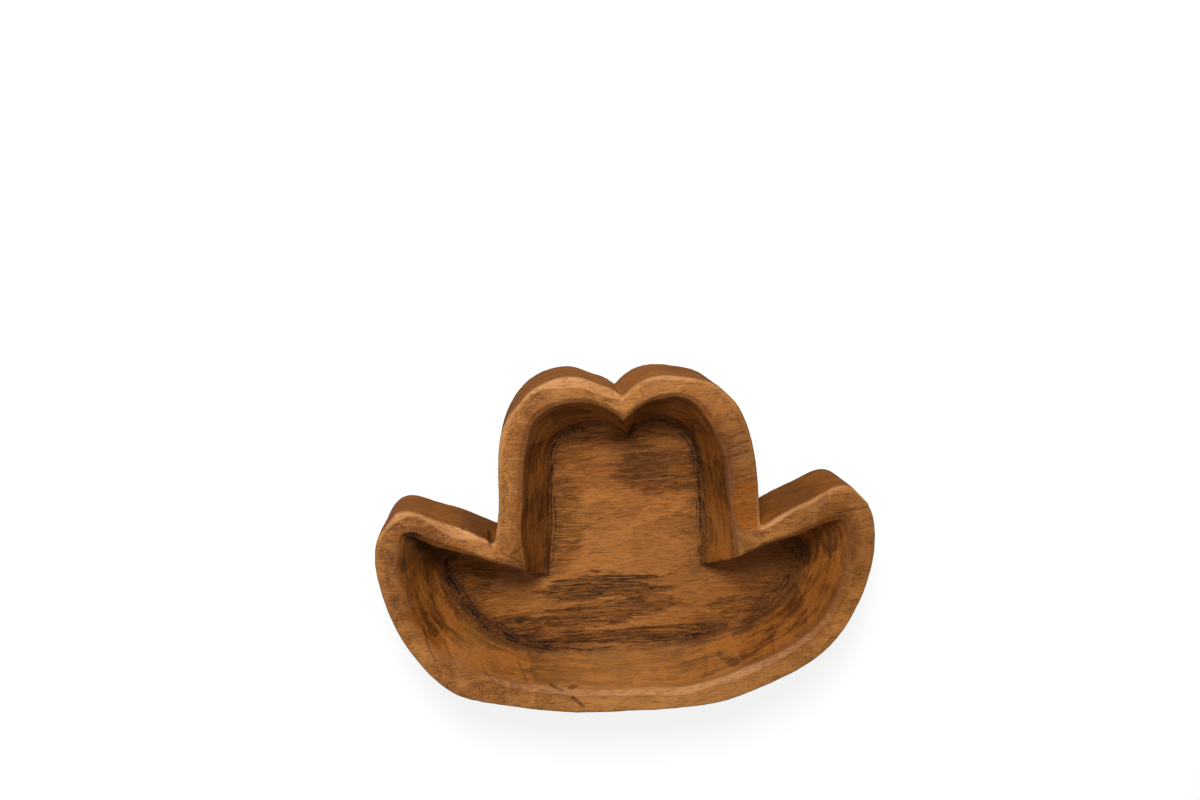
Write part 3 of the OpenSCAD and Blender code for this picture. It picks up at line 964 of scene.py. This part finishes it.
class BowlStage(bpy.types.PropertyGroup):
    """Camera, lamps and floor"""
    camera_place: bpy.props.FloatVectorProperty(
        name="Camera place", description="Where the camera stands",
        default=(-0.068, 0.2421, 0.7953), subtype="XYZ", unit="LENGTH"
    )
    camera_aim: bpy.props.FloatVectorProperty(
        name="Camera aim", description="The point in the middle of the picture",
        default=(-0.0126, 0.0848, 0.056), subtype="XYZ", unit="LENGTH"
    )
    camera_roll: bpy.props.FloatProperty(
        name="Camera roll", description="Lean of the picture's upright to the right",
        default=math.radians(2.312), subtype="ANGLE"
    )
    lens: bpy.props.FloatProperty(
        name="Lens", description="Focal length on a 36 mm sensor", default=42.0, min=10.0, unit="CAMERA"
    )
    paper: bpy.props.FloatVectorProperty(
        name="Paper", description="Colour of the floor",
        default=(0.22, 0.22, 0.22), subtype="COLOR", min=0.0, max=1.0
    )
    lift: strength("Paper lift", "Light that the floor adds for the camera", 0.83)
    sky: strength("Sky", "Strength of the light from all round", 0.20)
    key: strength("Key lamp", "Power of the lamp above the crown", 17.5, "POWER")
    fill: strength("Fill lamp", "Power of the lamp beside the camera", 1.5, "POWER")


def aim_turn(place_at, aim_at, roll=0.0):
    """The turn that points a camera or lamp at a point, its upright near +Y leaning by roll."""
    forward = (aim_at - place_at).normalized()
    up = Vector((0.0, 1.0, 0.0))
    up = (up - up.dot(forward) * forward).normalized()
    right = forward.cross(up)
    leaned_up = math.cos(roll) * up + math.sin(roll) * right
    leaned_right = forward.cross(leaned_up)
    return Matrix([[leaned_right[i], leaned_up[i], -forward[i]] for i in range(3)])


def soft_lamp(name, place_at, aim_at, power, size):
    """A square area lamp pointed at a place."""
    lamp = bpy.data.lights.new(name, "AREA")
    lamp.shape = "SQUARE"
    lamp.size = size
    lamp.energy = power
    held = bpy.data.objects.new(name, lamp)
    bpy.context.scene.collection.objects.link(held)
    place_at = Vector(place_at)
    held.matrix_world = aim_turn(place_at, Vector(aim_at)).to_4x4()
    held.location = place_at


class BOWL_OT_carve(bpy.types.Operator):
    """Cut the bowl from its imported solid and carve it"""
    bl_idname = "bowl.carve"
    bl_label = "Carve the bowl"

    def execute(self, context):
        tools = context.scene.bowl_tools
        voxel = tools.voxel * 1.0
        piece = recut(NODE.data, voxel)
        carve(piece, tools)
        if len(piece.data.vertices) < FEWEST_POINTS:
            raise RuntimeError("the carved bowl came out empty")
        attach(piece, "root")
        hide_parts("bowl")
        return {"FINISHED"}


class BOWL_OT_finish_wood(bpy.types.Operator):
    """Stain and wax the carved bowl"""
    bl_idname = "bowl.finish_wood"
    bl_label = "Stain and wax the bowl"

    def execute(self, context):
        piece = bpy.data.objects.get(BOWL)
        if piece is None:
            raise RuntimeError("carve the bowl before it is finished")
        look = context.scene.bowl_look
        groups = {"rings": growth_rings_group(), "fibre": fibre_group(), "stain": stain_group()}
        mesh = piece.data
        mesh.materials.clear()
        mesh.materials.append(wood("hollow_and_rim", groups, look, True))
        mesh.materials.append(wood("outer_wall_and_base", groups, look, False))
        inside = np.empty(len(mesh.vertices), np.float32)
        rim = np.empty(len(mesh.vertices), np.float32)
        mesh.attributes[HOLLOW].data.foreach_get("value", inside)
        mesh.attributes[RIM].data.foreach_get("value", rim)
        warm = np.maximum(inside, rim) > WARM_FROM
        for face in mesh.polygons:
            face.material_index = 0 if warm[face.vertices[0]] else 1
        return {"FINISHED"}


class BOWL_OT_stage(bpy.types.Operator):
    """Set up the camera, the lamps, the world and the floor"""
    bl_idname = "bowl.stage"
    bl_label = "Set the stage"

    def execute(self, context):
        scene = context.scene
        stage = scene.bowl_stage
        scene.view_settings.view_transform = "Standard"

        lens = bpy.data.cameras.new("camera")
        lens.lens = stage.lens
        lens.sensor_width = SENSOR_WIDTH
        camera = bpy.data.objects.new("camera", lens)
        scene.collection.objects.link(camera)
        camera_at = Vector(stage.camera_place)
        camera.matrix_world = aim_turn(camera_at, Vector(stage.camera_aim), stage.camera_roll).to_4x4()
        camera.location = camera_at
        scene.camera = camera

        soft_lamp("key_lamp", KEY_PLACE, LAMP_AIM, stage.key, KEY_SIZE)
        soft_lamp("fill_lamp", FILL_PLACE, LAMP_AIM, stage.fill, FILL_SIZE)

        world = bpy.data.worlds.new("white_room")
        world.use_nodes = True
        tree = world.node_tree
        tree.nodes.clear()
        rays = place(tree, "ShaderNodeLightPath").outputs
        seen = calc(tree, "MAXIMUM", rays["Is Camera Ray"], rays["Is Transmission Ray"])
        # The backdrop is as bright as the far end of the paper, so that no horizon shows
        far = stage.lift + stage.paper[0] * stage.sky
        bright = ramp(tree, seen, 0.0, 1.0, stage.sky, far)
        back = place(tree, "ShaderNodeBackground", {"Color": (1.0, 1.0, 1.0, 1.0), "Strength": bright})
        place(tree, "ShaderNodeOutputWorld", {"Surface": back.outputs[0]})
        scene.world = world

        bm = bmesh.new()
        bmesh.ops.create_grid(bm, x_segments=1, y_segments=1, size=PAPER_REACH)
        paper = bpy.data.meshes.new("paper_floor")
        bm.to_mesh(paper)
        bm.free()
        floor = bpy.data.objects.new("paper_floor", paper)
        floor.location.z = -PAPER_DROP
        scene.collection.objects.link(floor)
        paper.materials.append(stage_material("paper", stage.paper, stage.lift))
        return {"FINISHED"}


class BOWL_PT_panel(bpy.types.Panel):
    """Steps and settings of the dough bowl"""
    bl_label = "Dough bowl"
    bl_idname = "BOWL_PT_panel"
    bl_space_type = "VIEW_3D"
    bl_region_type = "UI"
    bl_category = "Bowl"

    def draw(self, context):
        scene = context.scene
        for step in STEPS:
            self.layout.operator(step.bl_idname)
        for group in (scene.bowl_tools, scene.bowl_look, scene.bowl_stage):
            box = self.layout.box()
            for name in group.__annotations__:
                box.prop(group, name)


STEPS = (BOWL_OT_carve, BOWL_OT_finish_wood, BOWL_OT_stage)
GROUPS = (("bowl_tools", BowlTools), ("bowl_look", BowlLook), ("bowl_stage", BowlStage))


def register():
    for name, group in GROUPS:
        bpy.utils.register_class(group)
        setattr(bpy.types.Scene, name, bpy.props.PointerProperty(type=group))
    for step in STEPS + (BOWL_PT_panel,):
        bpy.utils.register_class(step)


def unregister():
    for step in reversed(STEPS + (BOWL_PT_panel,)):
        bpy.utils.unregister_class(step)
    for name, group in reversed(GROUPS):
        delattr(bpy.types.Scene, name)
        bpy.utils.unregister_class(group)


def main():
    register()
    bpy.ops.bowl.carve()
    bpy.ops.bowl.finish_wood()
    bpy.ops.bowl.stage()


if __name__ == "__main__":
    main()
